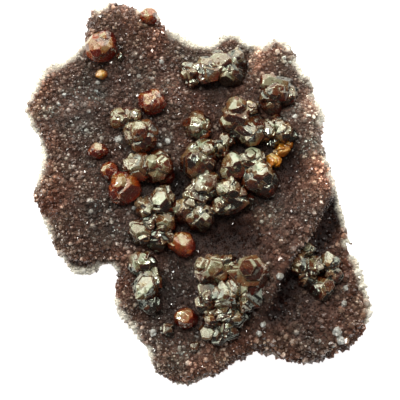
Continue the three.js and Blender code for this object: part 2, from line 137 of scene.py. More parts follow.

# smooth dark patches of the crust, with painted shade in the hollows and round the crystals,
# and pale patches, partly paler crust and partly painted light, in mm: x, y, half-width,
# half-height, amount
SMOOTH_AND_SHADED_PLACES = [
    (9.6, -12.6, 11, 7, 1.3),
    (26.4, 8.4, 4.5, 7, 0.8),
    (-7.8, -30.6, 5, 14, 0.6),
    (-6.9, 2.4, 4, 6, 0.8),
    (13.2, 13.5, 8, 2.5, 0.8),
    (29.0, -30.0, 5, 9, 0.5),
    (37.5, -8.5, 3, 8, 0.7),
    (28.5, 10.0, 3, 9, 0.4),
    (7.0, 29.0, 5, 4, 0.5),
    (-5.0, -12.0, 8, 4, 0.6),
    (4.0, 26.0, 8, 4, 0.3),
    (10.0, -32.0, 10, 11, 0.8),
    (3.0, -2.0, 11, 8, 0.8),
    (14.0, 6.0, 10, 7, 0.8),
    (-12.0, -8.0, 6, 8, 0.8),
    (-17.0, 5.0, 10, 6, 0.7),
    (-19.0, 19.0, 6, 6, 0.6),
    (12.0, 20.0, 8, 6, 0.8),
    (23.0, 27.0, 5, 4, 0.4),
    (4.0, 35.0, 9, 5, 0.6),
    (-15.0, -27.0, 4, 9, 0.6),
    (36.0, -23.0, 8, 6, 0.7),
    (35.0, -37.0, 9, 7, 0.35),
    (-28.0, 42.0, 5, 5, 0.5),
    (-13.5, 26.0, 4, 4, 0.5),
    (-29.4, 12.0, 3, 3, 0.6),
    (-4.5, -16.0, 4, 4, 0.5),
    (-3.5, -38.0, 4, 4, 0.6),
]
PALE_AND_LIT_PLACES = [
    (-37.2, 24.6, 7, 6, 0.4),
    (-37.5, 4.8, 6, 5, 0.3),
    (-8.1, 33.3, 3, 3, 0.8),
    (19.8, -7.6, 4, 3.5, 1.0),
    (30.0, 25.0, 6, 3, 0.8),
    (24.0, 38.0, 8, 4, 0.3),
    (34.0, 0.0, 5, 6, 0.5),
    (17.4, 42.0, 3, 6, 0.5),
    (34.0, 16.0, 5, 8, 0.8),
    (-2.0, -48.0, 11, 5, 0.6),
    (27.0, 43.0, 5, 4, 0.3),
]
# stretches of the outline that have no pale rim
BARE_EDGES = [
    (10.0, -52.0, 24, 8, 0.2),
]
# the broken edge of the upper crust, the ground in its shadow, where the shadow is painted, and
# ridges, in mm: x, y
CRUST_EDGE = [
    (38.6, -0.6), (37.4, -6.6), (34.2, -10.8), (30.9, -14.7),
    (26.7, -19.2), (23.4, -25.2), (21.6, -33.0),
]
EDGE_FOOT = [
    (40.6, -2.2), (39.6, -8.2), (36.4, -12.8), (33.1, -16.9),
    (29.2, -21.4), (25.6, -27.0), (22.6, -35.6),
]
LOBE_RIDGE = [(-50.0, 24.6), (-42.0, 24.9), (-34.0, 26.7), (-26.8, 28.2)]
LOBE_SLOPE = [(-48.0, 21.2), (-41.0, 21.6), (-33.0, 23.4), (-26.0, 25.4)]
UPPER_RIDGE = [(33.2, 28.2), (27.2, 26.4), (23.2, 23.1)]
BLOCK_EDGE = [(16.6, 43.8), (15.8, 35.7)]
RIGHT_RIM = [(32.0, 27.0), (35.0, 22.5), (35.4, 12.0), (37.4, 0.0)]
BLOCK_LEDGE = [(9.2, 30.6), (6.2, 25.8)]
# line, width in mm, amount
# crests painted paler, partly paler crust and partly painted light where the light strikes them
PALE_AND_LIT_LINES = [
    (CRUST_EDGE, 1.5, 1.6),
    (LOBE_RIDGE, 1.6, 0.6),
    (UPPER_RIDGE, 2.4, 2.2),
    (RIGHT_RIM, 2.0, 1.1),
    (BLOCK_EDGE, 1.3, 1.1),
    (BLOCK_LEDGE, 1.8, 0.4),
]
# painted shadow at the foot of the broken edge and on the slope below the lobe's ridge
PAINTED_SHADOW_LINES = [
    (EDGE_FOOT, 3.0, 1.7),
    (LOBE_SLOPE, 1.4, 0.5),
]


def copy_piece(piece, name):
    """A copy with its own mesh."""
    double = piece.copy()
    double.data = piece.data.copy()
    double.name = double.data.name = name
    bpy.context.scene.collection.objects.link(double)
    return double


def select_only(pieces):
    bpy.ops.object.select_all(action="DESELECT")
    for piece in pieces:
        piece.select_set(True)
    bpy.context.view_layer.objects.active = pieces[0]


def apply_modifiers(piece):
    select_only([piece])
    for modifier in list(piece.modifiers):
        bpy.ops.object.modifier_apply(modifier=modifier.name)


def add_modifier(piece, kind, **settings):
    modifier = piece.modifiers.new(kind.lower(), kind)
    for setting, value in settings.items():
        setattr(modifier, setting, value)


def add_smoothing(piece, times):
    add_modifier(piece, "SMOOTH", factor=SMOOTH_STRENGTH, iterations=times)


def new_clouds(name, size, detail):
    clouds = bpy.data.textures.new(name, "CLOUDS")
    clouds.noise_scale = size
    clouds.noise_depth = detail
    return clouds


def add_swelling(piece, clouds, height):
    """Lets a surface swell and sink as the clouds say."""
    add_modifier(
        piece, "DISPLACE", texture=clouds, texture_coords="LOCAL", strength=height, mid_level=0.5
    )


def patch_amount(point, patches):
    """How far a point lies inside the patches, each a soft oval."""
    x = point.x / MM
    y = point.y / MM
    total = 0
    for middle_x, middle_y, half_width, half_height, amount in patches:
        across = ((x - middle_x) / half_width) ** 2
        along = ((y - middle_y) / half_height) ** 2
        total += amount * math.exp(-across - along)
    return total


def line_amount(point, lines):
    """How close a point lies to the lines, each soft over its width."""
    place = Vector((point.x / MM, point.y / MM))
    total = 0
    for line, width, amount in lines:
        gaps = []
        for start, end in zip(line, line[1:]):
            nearest, along = geometry.intersect_point_line(place, Vector(start), Vector(end))
            if along < 0:
                nearest = Vector(start)
            if along > 1:
                nearest = Vector(end)
            gaps.append((place - nearest.xy).length)
        total += amount * math.exp(-((min(gaps) / width) ** 2))
    return total


def over_the_face(vertex):
    """1 on the crusted face, fading to 0 on the broken back."""
    return min(max(0.5 + BACK_FADE * vertex.normal.z, 0), 1)


def point_values(piece, name, values):
    layer = piece.data.attributes.new(name, "FLOAT", "POINT")
    layer.data.foreach_set("value", values)


matrix_rock = copy_piece(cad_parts["quartz_crusted_matrix"], "matrix_rock")
select_only([matrix_rock])
bpy.ops.object.mode_set(mode="EDIT")
bpy.ops.mesh.select_all(action="SELECT")
bpy.ops.mesh.remove_doubles(threshold=SAME_PLACE)
bpy.ops.object.mode_set(mode="OBJECT")
add_modifier(matrix_rock, "REMESH", mode="VOXEL", voxel_size=SKIN_STEP)
add_smoothing(matrix_rock, SKIN_SMOOTHING)
add_swelling(matrix_rock, new_clouds("lumps", LUMP_SIZE, LUMP_DETAIL), LUMP_HEIGHT)
apply_modifiers(matrix_rock)
bpy.ops.object.shade_smooth()

# the back is raised until its lowest lump rests on the table
sunk = -min(v.co.z for v in matrix_rock.data.vertices)
for v in matrix_rock.data.vertices:
    v.co.z += sunk * max(1 - v.co.z / RIM_HEIGHT, 0)

# how far each point sinks below the smoothed rock: 0.5 is level with it, and 1 the deepest. It
# paints shade into the hollows and light onto the rises
smoothed = copy_piece(matrix_rock, "smoothed")
add_smoothing(smoothed, CAVITY_SMOOTHING)
apply_modifiers(smoothed)
vertices = matrix_rock.data.vertices
point_values(matrix_rock, "cavity_shade", [
    0.5 + (soft.co.z - v.co.z) / CAVITY_DEPTH / 2
    for v, soft in zip(vertices, smoothed.data.vertices)
])
bpy.data.objects.remove(smoothed)
# smooth dark patches, with painted shade in hollows, round the crystals and under the broken edge
point_values(matrix_rock, "smooth", [
    over_the_face(v) * (patch_amount(v.co, SMOOTH_AND_SHADED_PLACES) + line_amount(v.co, PAINTED_SHADOW_LINES))
    for v in vertices
])
# pale patches and crests, partly paler crust and partly painted light
point_values(matrix_rock, "pale_and_lit", [
    over_the_face(v) * (patch_amount(v.co, PALE_AND_LIT_PLACES) + line_amount(v.co, PALE_AND_LIT_LINES))
    for v in vertices
])
point_values(matrix_rock, "back", [max(-v.normal.z, 0) for v in vertices])

# how far each point lies in from the outline
edge_points = [
    v.co for v in vertices if v.co.z < RIM_HEIGHT and abs(v.normal.z) < NEARLY_UPRIGHT
]
outline = kdtree.KDTree(len(edge_points))
for number, point in enumerate(edge_points):
    outline.insert((point.x, point.y, 0), number)
outline.balance()
point_values(matrix_rock, "inward", [
    min(outline.find((v.co.x, v.co.y, 0))[2] / RIM_FADE + patch_amount(v.co, BARE_EDGES), 1)
    for v in vertices
])


def new_finish(name):
    """A material, its node tree and its shader."""
    finish = bpy.data.materials.new(name)
    finish.use_nodes = True
    return finish, finish.node_tree, finish.node_tree.nodes["Principled BSDF"]


def add_node(tree, kind, **settings):
    node = tree.nodes.new(kind)
    for key, value in settings.items():
        setattr(node, key, value)
    return node


def attribute(tree, name):
    return add_node(tree, "ShaderNodeAttribute", attribute_name=name).outputs["Fac"]


def noise(tree, scale, detail=4, roughness=0.5):
    """Cloudy noise in the object's own space. The scale is in lumps per metre."""
    place = add_node(tree, "ShaderNodeTexCoord")
    cloud = add_node(tree, "ShaderNodeTexNoise")
    cloud.inputs["Scale"].default_value = scale
    cloud.inputs["Detail"].default_value = detail
    cloud.inputs["Roughness"].default_value = roughness
    tree.links.new(place.outputs["Object"], cloud.inputs["Vector"])
    return cloud.outputs["Fac"]


def weighted_sum(tree, terms, shift=0):
    """The sum of the sockets times their weights, plus a shift."""
    total = shift
    for socket, weight in terms:
        node = add_node(tree, "ShaderNodeMath", operation="MULTIPLY_ADD")
        tree.links.new(socket, node.inputs[0])
        node.inputs[1].default_value = weight
        if hasattr(total, "links"):
            tree.links.new(total, node.inputs[2])
        else:
            node.inputs[2].default_value = total
        total = node.outputs["Value"]
    return total


def grey(level):
    return (level, level, level)


def colour_ramp(tree, amount, stops):
    """The colour that runs through the stops as the amount goes from 0 to 1."""
    node = add_node(tree, "ShaderNodeValToRGB")
    elements = node.color_ramp.elements
    while len(elements) < len(stops):
        elements.new(0.5)
    for element, (position, colour) in zip(elements, stops):
        element.position = position
        element.color = (*colour, 1)
    tree.links.new(amount, node.inputs["Fac"])
    return node.outputs["Color"]


def multiply(tree, under, over):
    node = add_node(tree, "ShaderNodeMix", data_type="RGBA", blend_type="MULTIPLY")
    node.inputs[0].default_value = 1
    tree.links.new(under, node.inputs[6])
    tree.links.new(over, node.inputs[7])
    return node.outputs[2]


def stain(tree, colour, stains):
    """A colour multiplied by each stain in turn, as its amount runs through its stops."""
    for amount, stops in stains:
        colour = multiply(tree, colour, colour_ramp(tree, amount, stops))
    return colour


def cover(tree, under, amount, colour):
    """A colour laid over another as far as the amount says."""
    node = add_node(tree, "ShaderNodeMix", data_type="RGBA")
    tree.links.new(amount, node.inputs[0])
    tree.links.new(under, node.inputs[6])
    node.inputs[7].default_value = (*colour, 1)
    return node.outputs[2]


def rim_amount(tree):
    """1 along the thin edge of the crust, fading over a couple of millimetres and underneath."""
    wandering = weighted_sum(tree, [
        (attribute(tree, "inward"), 1),
        (attribute(tree, "back"), 0.6),
        (noise(tree, RIM_WANDERING), 0.4),
    ], -0.2)
    return colour_ramp(tree, wandering, [(0.05, WHITE), (0.18, grey(0))])


def rock_finish():
    """Speckled red-brown rock with rusty and grey stains, smooth dark and pale patches, painted
    shade in hollows, painted light on crests, and a pale rim with painted glow.
    """
    finish, tree, shader = new_finish("matrix_rock")
    colour = colour_ramp(tree, noise(tree, ROCK_SPECKLES, detail=6), [
        (0.35, (0.05, 0.020, 0.014)),
        (0.55, (0.12, 0.060, 0.043)),
        (0.75, (0.22, 0.140, 0.110)),
    ])
    stains = [
        (noise(tree, ROCK_STAINS, detail=5, roughness=0.6), [
            (0.36, (0.62, 0.66, 0.70)),
            (0.50, (1.0, 0.95, 0.92)),
            (0.62, (1.24, 1.02, 0.90)),
        ]),
        # darker in the smooth patches, and painted shade in the hollows and shadows
        (weighted_sum(tree, [(attribute(tree, "smooth"), 0.5)]), [
            (0.0, WHITE),
            (0.5, (0.28, 0.22, 0.20)),
            (0.9, (0.10, 0.05, 0.04)),
        ]),
        # paler patches and crests, partly paler crust and partly painted light
        (attribute(tree, "pale_and_lit"), [(0.0, WHITE), (1.0, (2.4, 2.5, 2.4))]),
        (attribute(tree, "back"), [(0.5, WHITE), (0.9, (1.5, 1.7, 1.7))]),
    ]
    colour = stain(tree, colour, stains)
    colour = cover(tree, colour, rim_amount(tree), RIM_COLOUR_AND_GLOW)
    tree.links.new(colour, shader.inputs["Base Color"])
    shader.inputs["Roughness"].default_value = ROCK_ROUGHNESS
    grit = add_node(tree, "ShaderNodeBump")
    grit.inputs["Strength"].default_value = GRIT_STRENGTH
    grit.inputs["Distance"].default_value = GRIT_HEIGHT
    tree.links.new(noise(tree, ROCK_GRIT, detail=6, roughness=0.7), grit.inputs["Height"])
    tree.links.new(grit.outputs["Normal"], shader.inputs["Normal"])
    return finish


def dress(piece, finish, node):
    """Gives a piece its finish and its place on the specimen."""
    piece.data.materials.clear()
    piece.data.materials.append(finish)
    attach(piece, "root")
    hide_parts(node)


dress(matrix_rock, rock_finish(), "quartz_crusted_matrix")

# -----------------------------------------------------------------------------
# The druse. Thousands of quartz points, each a six-sided prism that ends in a pyramid, grew out of
# the rock side by side at all angles. Most are stained brown and half clear, over the dark rock.

POINT_RADIUS = 0.40 * MM
PRISM_LENGTH = 0.50 * MM
TIP_LENGTH = 0.45 * MM
ROOT_DEPTH = 0.35 * MM
POINT_LEAN = 0.6
RARE_LARGE = 4
SHRINK_IN_HOLLOWS = 0.40
LOWEST_SLOPE = -0.15
CROWDING = 3
FACING_UP = 0.9
DRUSE_SEED = 3
QUARTZ_IOR = 1.54
POINT_ROUGHNESS = 0.15
POINT_CLEARNESS = 0.6
RIM_CLEARNESS = 0.15
# the rim is painted pale: partly the paler quartz there and partly painted glow
POINT_RIM_COLOUR_AND_GLOW = (1.0, 0.96, 0.85)
# patterns, in lumps to the metre
QUARTZ_STAINS = 130
BROAD_STAINS = 55
FAR = 1
FINE_CRUST = (0.54 * MM, 0.75, 2.2)
COARSE_CRUST = (0.70 * MM, 0.80, 3.2)
DRUSE_PATCHES = {
    # name: x from and to, y from and to, and the crust's spacing, smallest and largest size
    "quartz_druse_left": (-FAR, -12 * MM, -FAR, FAR, FINE_CRUST),
    "quartz_druse_top": (-12 * MM, FAR, 20 * MM, FAR, FINE_CRUST),
    "quartz_druse_middle": (-12 * MM, 16 * MM, -FAR, 20 * MM, FINE_CRUST),
    "quartz_druse_right": (16 * MM, FAR, -10 * MM, 20 * MM, FINE_CRUST),
    "quartz_druse_lower_right": (16 * MM, FAR, -FAR, -10 * MM, COARSE_CRUST),
}


def select_faces(piece, wanted):
    """Leaves the piece in edit mode with the wanted faces selected."""
    bpy.ops.object.mode_set(mode="EDIT")
    bpy.ops.mesh.select_mode(type="FACE")
    bpy.ops.mesh.select_all(action="DESELECT")
    bpy.ops.object.mode_set(mode="OBJECT")
    for face in piece.data.polygons:
        face.select = wanted(face)
    bpy.ops.object.mode_set(mode="EDIT")


bpy.ops.object.select_all(action="DESELECT")
bpy.ops.mesh.primitive_cylinder_add(
    vertices=6,
    radius=POINT_RADIUS,
    depth=PRISM_LENGTH,
    location=(0, 0, PRISM_LENGTH / 2 - ROOT_DEPTH),
)
quartz_point = bpy.context.object
quartz_point.name = "quartz_point"
bpy.ops.object.transform_apply(location=True, rotation=False, scale=False)
select_faces(quartz_point, lambda face: face.normal.z > FACING_UP)
bpy.ops.mesh.extrude_region_move(TRANSFORM_OT_translate={"value": (0, 0, TIP_LENGTH)})
bpy.ops.mesh.merge(type="CENTER")
bpy.ops.mesh.select_all(action="SELECT")
bpy.ops.mesh.normals_make_consistent(inside=False)
bpy.ops.object.mode_set(mode="OBJECT")
# how high up its point each place lies: painted shade at its foot and a painted paler tip
point_values(quartz_point, "height", [
    (v.co.z + ROOT_DEPTH) / (PRISM_LENGTH + TIP_LENGTH) for v in quartz_point.data.vertices
])


def druse_grower(patch, point, seed):
    """A node tree that grows quartz points on a rock, inside a patch."""
    x_from, x_to, y_from, y_to, (spacing, smallest, largest) = patch
    tree = bpy.data.node_groups.new("druse", "GeometryNodeTree")
    tree.interface.new_socket("Geometry", in_out="INPUT", socket_type="NodeSocketGeometry")
    tree.interface.new_socket("Geometry", in_out="OUTPUT", socket_type="NodeSocketGeometry")
    start = add_node(tree, "NodeGroupInput")
    end = add_node(tree, "NodeGroupOutput")

    def compare(value, operation, limit):
        test = add_node(tree, "FunctionNodeCompare", data_type="FLOAT", operation=operation)
        test.inputs["B"].default_value = limit
        tree.links.new(value, test.inputs["A"])
        return test.outputs["Result"]

    def both(first, second):
        gate = add_node(tree, "FunctionNodeBooleanMath", operation="AND")
        tree.links.new(first, gate.inputs[0])
        tree.links.new(second, gate.inputs[1])
        return gate.outputs[0]

    def between(value, low, high):
        return both(compare(value, "GREATER_EQUAL", low), compare(value, "LESS_THAN", high))

    def chance(kind, low, high, step):
        node = add_node(tree, "FunctionNodeRandomValue", data_type=kind)
        sockets = [socket for socket in node.inputs if socket.enabled]
        sockets[0].default_value = low
        sockets[1].default_value = high
        node.inputs["Seed"].default_value = seed + step
        return [socket for socket in node.outputs if socket.enabled][0]

    def calculate(operation, first, second, third=None):
        node = add_node(tree, "ShaderNodeMath", operation=operation)
        for socket, value in zip(node.inputs, (first, second, third)):
            if hasattr(value, "links"):
                tree.links.new(value, socket)
            elif value is not None:
                socket.default_value = value
        return node.outputs["Value"]

    # points all over the face and the edge, but not on the broken back
    normal = add_node(tree, "GeometryNodeInputNormal")
    slope = add_node(tree, "ShaderNodeSeparateXYZ")
    tree.links.new(normal.outputs["Normal"], slope.inputs["Vector"])
    scatter = add_node(tree, "GeometryNodeDistributePointsOnFaces", distribute_method="POISSON")
    scatter.inputs["Distance Min"].default_value = spacing
    scatter.inputs["Density Max"].default_value = CROWDING / spacing ** 2
    scatter.inputs["Seed"].default_value = seed
    not_the_back = compare(slope.outputs["Z"], "GREATER_THAN", LOWEST_SLOPE)
    tree.links.new(start.outputs["Geometry"], scatter.inputs["Mesh"])
    tree.links.new(not_the_back, scatter.inputs["Selection"])
    # of them, those in this patch
    position = add_node(tree, "GeometryNodeInputPosition")
    place = add_node(tree, "ShaderNodeSeparateXYZ")
    tree.links.new(position.outputs["Position"], place.inputs["Vector"])
    inside = both(
        between(place.outputs["X"], x_from, x_to), between(place.outputs["Y"], y_from, y_to)
    )
    # each leans its own way and has its own size, smaller in the smooth hollows and where shade is
    # painted
    turn = add_node(tree, "FunctionNodeRotateRotation", rotation_space="LOCAL")
    tree.links.new(scatter.outputs["Rotation"], turn.inputs["Rotation"])
    furthest = (POINT_LEAN, POINT_LEAN, math.pi)
    lean = chance("FLOAT_VECTOR", tuple(-angle for angle in furthest), furthest, 1)
    tree.links.new(lean, turn.inputs["Rotate By"])
    hollow = add_node(tree, "GeometryNodeInputNamedAttribute", data_type="FLOAT")
    hollow.inputs["Name"].default_value = "smooth"
    shrink = calculate("MULTIPLY_ADD", hollow.outputs["Attribute"], -SHRINK_IN_HOLLOWS, 1)
    shrink = calculate("MAXIMUM", shrink, 1 - SHRINK_IN_HOLLOWS)
    rare = calculate("POWER", chance("FLOAT", 0, 1, 2), RARE_LARGE)
    size = calculate("MULTIPLY_ADD", rare, largest - smallest, smallest)
    size = calculate("MULTIPLY", size, shrink)
    master = add_node(tree, "GeometryNodeObjectInfo")
    master.inputs["Object"].default_value = point
    grow = add_node(tree, "GeometryNodeInstanceOnPoints")
    tree.links.new(scatter.outputs["Points"], grow.inputs["Points"])
    tree.links.new(inside, grow.inputs["Selection"])
    tree.links.new(master.outputs["Geometry"], grow.inputs["Instance"])
    tree.links.new(turn.outputs["Rotation"], grow.inputs["Rotation"])
    tree.links.new(size, grow.inputs["Scale"])
    tint = add_node(tree, "GeometryNodeStoreNamedAttribute", data_type="FLOAT", domain="INSTANCE")
    tint.inputs["Name"].default_value = "tint"
    tree.links.new(grow.outputs["Instances"], tint.inputs["Geometry"])
    tree.links.new(chance("FLOAT", 0, 1, 3), tint.inputs["Value"])
    real = add_node(tree, "GeometryNodeRealizeInstances")
    tree.links.new(tint.outputs["Geometry"], real.inputs["Geometry"])
    tree.links.new(real.outputs["Geometry"], end.inputs["Geometry"])
    return tree


def druse_finish():
    """Quartz stained brown, with a few clear bright points; painted shade in hollows and at the
    points' feet, painted light on ridges, tips and the rim.
    """
    finish, tree, shader = new_finish("quartz_points")
    colour = colour_ramp(tree, attribute(tree, "tint"), [
        (0.0, (0.128, 0.083, 0.067)),
        (0.3, (0.182, 0.125, 0.104)),
        (0.6, (0.252, 0.182, 0.154)),
        (0.84, (0.355, 0.270, 0.232)),
        (0.93, (0.66, 0.57, 0.50)),
        (1.0, (1.0, 0.98, 0.93)),
    ])
    stains = [
        (noise(tree, QUARTZ_STAINS, detail=3, roughness=0.6), [
            (0.34, (0.66, 0.72, 0.76)),
            (0.42, (1.22, 1.26, 1.22)),
            (0.50, (0.84, 0.77, 0.76)),
            (0.57, (1.26, 1.06, 1.00)),
            (0.66, (0.92, 0.66, 0.60)),
        ]),
        (noise(tree, BROAD_STAINS, detail=2), [
            (0.38, (0.87, 0.98, 1.05)),
            (0.62, (1.14, 0.98, 0.90)),
        ]),
        # paler patches and crests, partly paler crust and partly painted light
        (attribute(tree, "pale_and_lit"), [(0.0, WHITE), (1.0, (2.0, 2.4, 2.5))]),
        # darker in the smooth patches, and painted shade in the hollows and shadows
        (weighted_sum(tree, [(attribute(tree, "smooth"), 0.5)]), [
            (0.0, WHITE),
            (0.5, (0.26, 0.20, 0.18)),
            (0.9, (0.09, 0.04, 0.03)),
        ]),
        # paler and warmer towards the rim: partly the crust's colour and partly painted light on
        # the edge's slopes
        (attribute(tree, "inward"), [
            (0.08, (1.4, 1.32, 1.18)),
            (0.25, (1.23, 1.12, 1.02)),
            (0.55, (1.08, 1.00, 0.93)),
            (1.0, WHITE),
        ]),
        # painted shade in the hollows of the rock and painted light on its rises
        (attribute(tree, "cavity_shade"), [
            (0.1, (1.9, 1.85, 1.8)),
            (0.35, (1.25, 1.23, 1.2)),
            (0.55, WHITE),
            (0.9, (0.30, 0.26, 0.24)),
        ]),
        # painted shade at the foot of each point and painted light at its tip
        (attribute(tree, "height"), [(0.25, (0.42, 0.37, 0.34)), (0.9, (1.3, 1.3, 1.3))]),
    ]
    colour = stain(tree, colour, stains)
    colour = cover(tree, colour, rim_amount(tree), POINT_RIM_COLOUR_AND_GLOW)
    tree.links.new(colour, shader.inputs["Base Color"])
    shader.inputs["Roughness"].default_value = POINT_ROUGHNESS
    shader.inputs["IOR"].default_value = QUARTZ_IOR
    clear = colour_ramp(tree, rim_amount(tree), [
        (0.0, grey(POINT_CLEARNESS)),
        (1.0, grey(RIM_CLEARNESS)),
    ])
    tree.links.new(clear, shader.inputs["Transmission Weight"])
    return finish


stained_quartz = druse_finish()
for name, patch in DRUSE_PATCHES.items():
    druse = copy_piece(matrix_rock, name)
    grower = druse.modifiers.new("grow", "NODES")
    grower.node_group = druse_grower(patch, quartz_point, DRUSE_SEED)
    apply_modifiers(druse)
    dress(druse, stained_quartz, "quartz_crusted_matrix")

# -----------------------------------------------------------------------------
# The larger quartz. A few tufts of bigger quartz points, milky to clear, that stand out of the
# druse, and the sparkling broken tuft by the lower right edge.

QUARTZ_TUFTS = [
    # x and y in mm, size in druse points, number of points
    (-23.9, 16.2, 2.4, 4),
    (-9.5, 15.6, 2.2, 4),
    (-11.9, 14.4, 1.9, 3),
    (-19.4, -4.2, 1.6, 3),
    (-13.7, -41.3, 2.3, 4),
    (43.7, -28.2, 1.9, 3),
    (41.0, -41.0, 3.2, 4),
    (42.0, -43.6, 3.4, 4),
    (39.6, -45.0, 2.2, 3),
    (35.3, -43.8, 1.9, 3),
    (43.1, -32.7, 1.9, 3),
    (23.6, -24.3, 2.2, 3),
    (18.8, -38.7, 1.8, 3),
    (17.6, -41.4, 1.8, 3),
    (-11.3, 39.3, 1.7, 3),
    (-30.2, 33.0, 1.6, 3),
    (-40.1, 29.4, 1.6, 3),
    (-41.6, 26.7, 1.6, 2),
]
TUFT_LEANS = (0.2, 0.9)
TUFT_SIZES = (0.8, 1.3)
TUFT_SEED = 20
TUFT_ROUGHNESS = 0.08
TUFT_CLEARNESS = 0.4
MILKY_LUMPS = 900
ABOVE_ALL = 0.1


def crust_height(x, y):
    """How high the rock stands at a place on its face."""
    hit, place, _, _ = matrix_rock.ray_cast(Vector((x, y, ABOVE_ALL)), Vector((0, 0, -1)))
    return place.z if hit else RIM_HEIGHT


def join_solids(pieces, name):
    """Pieces that overlap, made one closed solid."""
    select_only(pieces)
    bpy.ops.object.join()
    bpy.ops.object.mode_set(mode="EDIT")
    bpy.ops.mesh.select_all(action="SELECT")
    bpy.ops.mesh.intersect_boolean(operation="UNION", use_self=True, solver="EXACT")
    bpy.ops.object.mode_set(mode="OBJECT")
    whole = bpy.context.object
    whole.name = whole.data.name = name
    return whole


def tuft_finish():
    finish, tree, shader = new_finish("milky_quartz")
    milk = colour_ramp(tree, noise(tree, MILKY_LUMPS), [
        (0.40, (0.95, 0.97, 0.93)),
        (0.62, (0.55, 0.52, 0.45)),
    ])
    tree.links.new(milk, shader.inputs["Base Color"])
    shader.inputs["Roughness"].default_value = TUFT_ROUGHNESS
    shader.inputs["IOR"].default_value = QUARTZ_IOR
    shader.inputs["Transmission Weight"].default_value = TUFT_CLEARNESS
    return finish


luck = random.Random(TUFT_SEED)
large_points = []
for x, y, size, count in QUARTZ_TUFTS:
    foot = Matrix.Translation((x * MM, y * MM, crust_height(x * MM, y * MM)))
    for _ in range(count):
        large_point = copy_piece(quartz_point, "large_point")
        way = Matrix.Rotation(luck.uniform(0, 2 * math.pi), 4, "Z")
        lean = Matrix.Rotation(luck.uniform(*TUFT_LEANS), 4, "X")
        scale = Matrix.Scale(size * luck.uniform(*TUFT_SIZES), 4)
        large_point.data.transform(foot @ way @ lean @ scale)
        large_points.append(large_point)
quartz_tufts = join_solids(large_points, "quartz_tufts")
dress(quartz_tufts, tuft_finish(), "quartz_crusted_matrix")

# the single point has been copied for the last time
bpy.data.objects.remove(quartz_point)

# -----------------------------------------------------------------------------
# The sphalerite crystals. Each is a rounded block with the flat faces of the tetrahedron, the
# rhombic dodecahedron and the cube, and smaller blocks stepped over its sides. A few kinds are cut
# as patterns. Copies of them, each turned its own way, are grown into each other in clusters.

FORMS = {
    "tetrahedron": [(1, 1, 1), (1, -1, -1), (-1, 1, -1), (-1, -1, 1)],
    "opposite": [(-1, -1, -1), (-1, 1, 1), (1, -1, 1), (1, 1, -1)],
    "cube": [(1, 0, 0), (-1, 0, 0), (0, 1, 0), (0, -1, 0), (0, 0, 1), (0, 0, -1)],
    "dodecahedron": [
        face for a in (1, -1) for b in (1, -1) for face in ((a, b, 0), (a, 0, b), (0, a, b))
    ],
    "trapezohedron": [
        face for a in (1, -1) for b in (1, -1) for c in (1, -1)
        for face in ((2 * a, b, c), (a, 2 * b, c), (a, b, 2 * c))
    ],
}
SAME_PLANE = math.radians(2)
FACE_WOBBLE = 0.04
FACE_SHIFTS = (0.92, 1.08)
CORE_RADIUS = 0.85
STEP_SIZES = (0.42, 0.72)


def random_direction(chance):
    return Vector([chance.gauss(0, 1) for _ in range(3)]).normalized()


def cut_block(habit, chance, place, radius):
    """A ball cut by flat faces. The habit gives each form's distance, for a ball of radius 1."""
    bpy.ops.object.select_all(action="DESELECT")
    bpy.ops.mesh.primitive_ico_sphere_add(subdivisions=2, radius=1)
    block = bpy.context.object
    bpy.ops.object.mode_set(mode="EDIT")
    for form, distance in habit:
        for face in FORMS[form]:
            out = (Vector(face).normalized() + random_direction(chance) * FACE_WOBBLE).normalized()
            middle = out * distance * chance.uniform(*FACE_SHIFTS)
            bpy.ops.mesh.select_all(action="SELECT")
            bpy.ops.mesh.bisect(plane_co=middle, plane_no=out, use_fill=True, clear_outer=True)
    bpy.ops.mesh.select_all(action="SELECT")
    bpy.ops.mesh.dissolve_limited(angle_limit=SAME_PLANE)
    bpy.ops.object.mode_set(mode="OBJECT")
    block.data.transform(Matrix.Translation(place) @ Matrix.Scale(radius, 4))
    return block


def crystal_pattern(name, habit, seed, steps, step_sizes=STEP_SIZES):
    """A crystal of radius 1 with smaller blocks stepped over its sides."""
    chance = random.Random(seed)
    parts = [cut_block(habit, chance, (0, 0, 0), CORE_RADIUS)]
    for _ in range(steps):
        radius = chance.uniform(*step_sizes)
        parts.append(cut_block(habit, chance, random_direction(chance) * (1 - radius), radius))
    pattern = join_solids(parts, name)
    reaches = [v.co.length for v in pattern.data.vertices]
    reach = (sum(reaches) / len(reaches) + max(reaches)) / 2
    pattern.data.transform(Matrix.Scale(1 / reach, 4))
    return pattern


